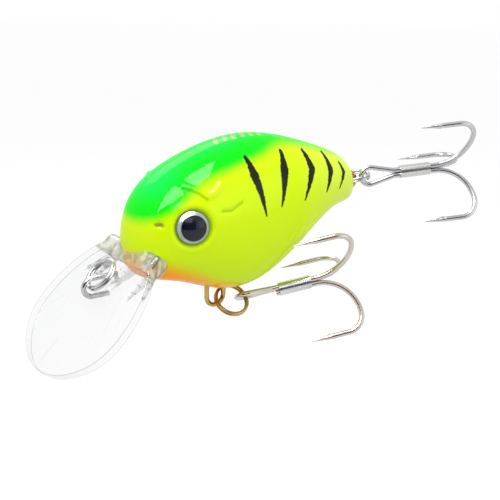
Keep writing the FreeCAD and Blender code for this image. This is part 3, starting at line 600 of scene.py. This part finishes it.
tail_pale = add(tree, "ShaderNodeMapRange", {"Value": axes["X"], "From Min": 30.0, "From Max": LENGTH,
                                             "To Max": 0.75}).outputs[0]
colour = blend(tree, tail_pale, YELLOW, PALE_YELLOW)
throat = number(tree, "SUBTRACT", 1.0, sprayed(ORANGE_EDGE, -1.9, 1.9))
colour = blend(tree, throat, colour, ORANGE)
colour = blend(tree, sprayed(GREEN_EDGE, -1.1, 1.0), colour, GREEN)
# A teal-green tint over the top of the back: a painted sheen of reflected light.
colour = blend(tree, sprayed([(x, z + 2.6) for x, z in GREEN_EDGE], -1.0, 2.0), colour, BACK_SHEEN_GREEN)

# A painted shadow, in olive, rings each eye socket.
sided = add(tree, "ShaderNodeCombineXYZ", {"X": axes["X"], "Y": flank_side, "Z": axes["Z"]}).outputs[0]
eye_away = vector(tree, "DISTANCE", sided, (EYE_AT.x, -EYE_AT.y, EYE_AT.z))
colour = blend(tree, ramp(tree, eye_away, 3.55, 2.95), colour, SOCKET_SHADOW_OLIVE)

bars = [((ax, 0, az), (bx, 0, bz), a_wide, b_wide)
        for bar in BARS for (ax, az, a_wide), (bx, bz, b_wide) in zip(bar[:-1], bar[1:])]
colour = blend(tree, brushed_on(brushed, bars, 0.22), colour, BAR_BLACK)

# The dashes are only on top of the back, though the same place below it is throat.
dashes = [((x, y, 0), (x + DASH_RUN[0], y + DASH_RUN[1], 0), 0.3, 0.22) for x, y in DASH_STARTS]
dash_mask = brushed_on(vector(tree, "MULTIPLY", place, (1, 1, 0)), dashes, 0.16)
dash_mask = number(tree, "MULTIPLY", dash_mask, number(tree, "GREATER_THAN", axes["Z"], DASH_FLOOR))
colour = blend(tree, dash_mask, colour, DASH_GOLD)

# The creases of the gill and the nostril are painted darker than the paint round them: painted shade in the
# hollows.
creases = [((ax, 0, az), (bx, 0, bz), 0.08, 0.05)
           for line in (GILL_SLIT, [(x, z - 0.35) for x, z in GILL_RIDGE[:3]])
           for (ax, az), (bx, bz) in zip(line[:-1], line[1:])]
crease_shade_mask = number(tree, "MULTIPLY", brushed_on(flat_point, creases, 0.3), 0.42)
colour = blend(tree, crease_shade_mask, colour, CREASE_SHADE_GREEN)
nostril_x, nostril_z = NOSTRIL_AT
nostril = use(tree, stroke, Point=flat_point, Start=(nostril_x - 0.3, 0, nostril_z),
              End=(nostril_x + 0.2, 0, nostril_z), Start_Width=0.16, End_Width=0.2, Softness=0.3)["Mask"]
colour = blend(tree, number(tree, "MULTIPLY", nostril, 0.72), colour, NOSTRIL_SHADE_BROWN)

tree.links.new(colour, shader.inputs["Base Color"])
# The paint also glows faintly in its own colour: a painted glow that evens out its light and shade.
tree.links.new(colour, shader.inputs["Emission Color"])
marks = use(tree, handled, Roughness=0.3, Spread=0.12, Scale=220.0)
tree.links.new(marks["Roughness"], shader.inputs["Roughness"])
peel = add(tree, "ShaderNodeBump", {"Height": marks["Height"], "Strength": 0.05, "Distance": 0.05 * MM})
tree.links.new(peel.outputs[0], shader.inputs["Normal"])

for word, side in (("left", -1), ("right", 1)):
    shell = shell_mesh(f"painted_shell_{word}", side)
    shell.data.materials.append(shell_paint)
    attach(shell, "lure")
    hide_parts(f"body_shell_{word}")

# ---------------------------------------------------------------------------------------------
# Eyes. A silver foil disc, a blue-black pupil printed on it and a clear domed cap that carries
# both colours to its face, stuck in a socket on each flank.

foil = handled_metal("eye_silver_foil", (0.70, 0.72, 0.74, 1), (0.42, 0.44, 0.46, 1), roughness=0.3,
                     bump=0.25, scale=900.0)
dress(foil, "eye_foil_left", "eye_foil_right")
pupil_ink, tree, shader = finish_of("pupil_ink", Roughness=0.3)
marks = use(tree, handled, Base=(0.010, 0.014, 0.040, 1), Dark=(0.003, 0.004, 0.014, 1), Amount=0.8,
            Roughness=0.3, Spread=0.1, Scale=700.0)
tree.links.new(marks["Color"], shader.inputs["Base Color"])
tree.links.new(marks["Roughness"], shader.inputs["Roughness"])
dress(pupil_ink, "eye_pupil_left", "eye_pupil_right")

EYE_RADIUS, PUPIL_EDGE, CAP_HEIGHT, CAP_LIFT = 2.8, 2.24, 1.25, 0.15
CAP_RINGS, CAP_STEPS = 16, 72
CAP_SILVER, CAP_TARNISH, CAP_EDGE = (0.52, 0.56, 0.60, 1), (0.20, 0.23, 0.25, 1), (0.12, 0.14, 0.12, 1)
INK_BLUE, INK_BLACK = (0.010, 0.016, 0.040, 1), (0.002, 0.003, 0.009, 1)


def eye_finish(name, middle):
    """The cap's finish: silver outside and blue-black inside, under clear plastic."""
    made, tree, shader = finish_of(name, IOR=1.5, Specular_IOR_Level=0.1, Coat_Weight=0.5,
                                   Coat_Roughness=0.02)
    spot = add(tree, "ShaderNodeTexCoord").outputs["Object"]
    out = number(tree, "DIVIDE", vector(tree, "DISTANCE", spot, tuple(middle)), MM)
    silver = ramp(tree, out, PUPIL_EDGE - 0.07, PUPIL_EDGE + 0.09)
    edge = add(tree, "ShaderNodeMapRange", {"Value": out, "From Min": EYE_RADIUS - 0.14,
                                            "From Max": EYE_RADIUS}).outputs[0]
    marks = use(tree, handled, Base=CAP_SILVER, Dark=CAP_TARNISH, Amount=0.7, Roughness=0.28, Spread=0.2,
                Scale=900.0)
    ink = add(tree, "ShaderNodeMapRange", {"Value": out, "From Min": 0.4, "From Max": PUPIL_EDGE}).outputs[0]
    tone = blend(tree, silver, blend(tree, ink, INK_BLUE, INK_BLACK), marks["Color"])
    tone = blend(tree, edge, tone, CAP_EDGE)
    tree.links.new(tone, shader.inputs["Base Color"])
    tree.links.new(number(tree, "MULTIPLY", silver, 0.55), shader.inputs["Metallic"])
    tree.links.new(marks["Roughness"], shader.inputs["Roughness"])
    return made


for word, side in (("left", -1), ("right", 1)):
    low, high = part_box(f"eye_foil_{word}")
    middle = (low + high) / 2
    spread = np.array([v.co for v in nodes[f"eye_foil_{word}"].data.vertices]) - np.array(middle)
    normal = Vector(np.linalg.svd(spread, full_matrices=False)[2][2])
    if normal.y * side < 0:
        normal = -normal
    level = Vector((0, 0, 1)).cross(normal).normalized()
    upright = normal.cross(level)
    base = middle + normal * CAP_LIFT * MM
    ball = (EYE_RADIUS ** 2 + CAP_HEIGHT ** 2) / (2 * CAP_HEIGHT)
    edit = bmesh.new()
    rings = []
    for ring in range(CAP_RINGS + 1):
        out = EYE_RADIUS * ring / CAP_RINGS
        rise = math.sqrt(ball ** 2 - out ** 2) - ball + CAP_HEIGHT
        if ring == 0:
            rings.append([edit.verts.new(base + normal * rise * MM)] * CAP_STEPS)
            continue
        rings.append([edit.verts.new(base + (level * math.cos(turn) + upright * math.sin(turn)) * out * MM
                                     + normal * rise * MM)
                      for turn in (2 * math.pi * step / CAP_STEPS for step in range(CAP_STEPS))])
    for one, two in zip(rings[:-1], rings[1:]):
        for step in range(CAP_STEPS):
            after = (step + 1) % CAP_STEPS
            loop = [one[step], two[step], two[after], one[after]]
            loop = [v for index, v in enumerate(loop) if v not in loop[:index]]
            edit.faces.new(loop).smooth = True
    bottom = edit.faces.new(rings[-1][::-1])
    for seam in bottom.edges:
        seam.smooth = False
    bmesh.ops.recalc_face_normals(edit, faces=edit.faces)
    cap = meshed(f"eye_cap_{word}", edit)
    cap.data.materials.append(eye_finish(f"domed_eye_{word}", base))
    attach(cap, "lure")
    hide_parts(f"eye_dome_{word}")

# ---------------------------------------------------------------------------------------------
# Split rings. Each is nearly two turns of spring steel wire, wound onto the line tie or a hanger;
# the belly ring is warmer in tone than the other two.

ring_steel = handled_metal("split_ring_steel", (0.62, 0.62, 0.62, 1), (0.2, 0.2, 0.21, 1), roughness=0.17,
                           bump=0.12)
warm_ring = handled_metal("belly_ring_steel", (0.66, 0.46, 0.17, 1), (0.16, 0.10, 0.03, 1), roughness=0.17,
                          bump=0.12, amount=0.8)
dress(ring_steel, "line_tie_ring", "tail_ring")
dress(warm_ring, "belly_ring")

# ---------------------------------------------------------------------------------------------
# Treble hooks. One wire is bent double to make the eye and two points, a third hook is brazed to
# its shanks, and all of it is plated; each hook hangs loose in its split ring.

HOOK_LIGHT = (0.66, 0.66, 0.68, 1)
# The belly hook's darker tone is gold, a painted reflection of the yellow body above it; the tail hook's is
# plain dark grey.
HOOK_DARKS_AND_REFLECTION = {"belly": (0.40, 0.24, 0.07, 1), "tail": (0.20, 0.20, 0.22, 1)}
braze_metal = handled_metal("hook_braze", (0.66, 0.66, 0.65, 1), (0.30, 0.30, 0.30, 1), roughness=0.26,
                            bump=0.35)
for name, shade in HOOK_DARKS_AND_REFLECTION.items():
    hook_plate = handled_metal(f"{name}_hook_plate", HOOK_LIGHT, shade, roughness=0.19, bump=0.10,
                               amount=0.7, scale=260.0)
    dress(hook_plate, f"{name}_hook_single", f"{name}_hook_pair")
    dress(braze_metal, f"{name}_hook_braze")
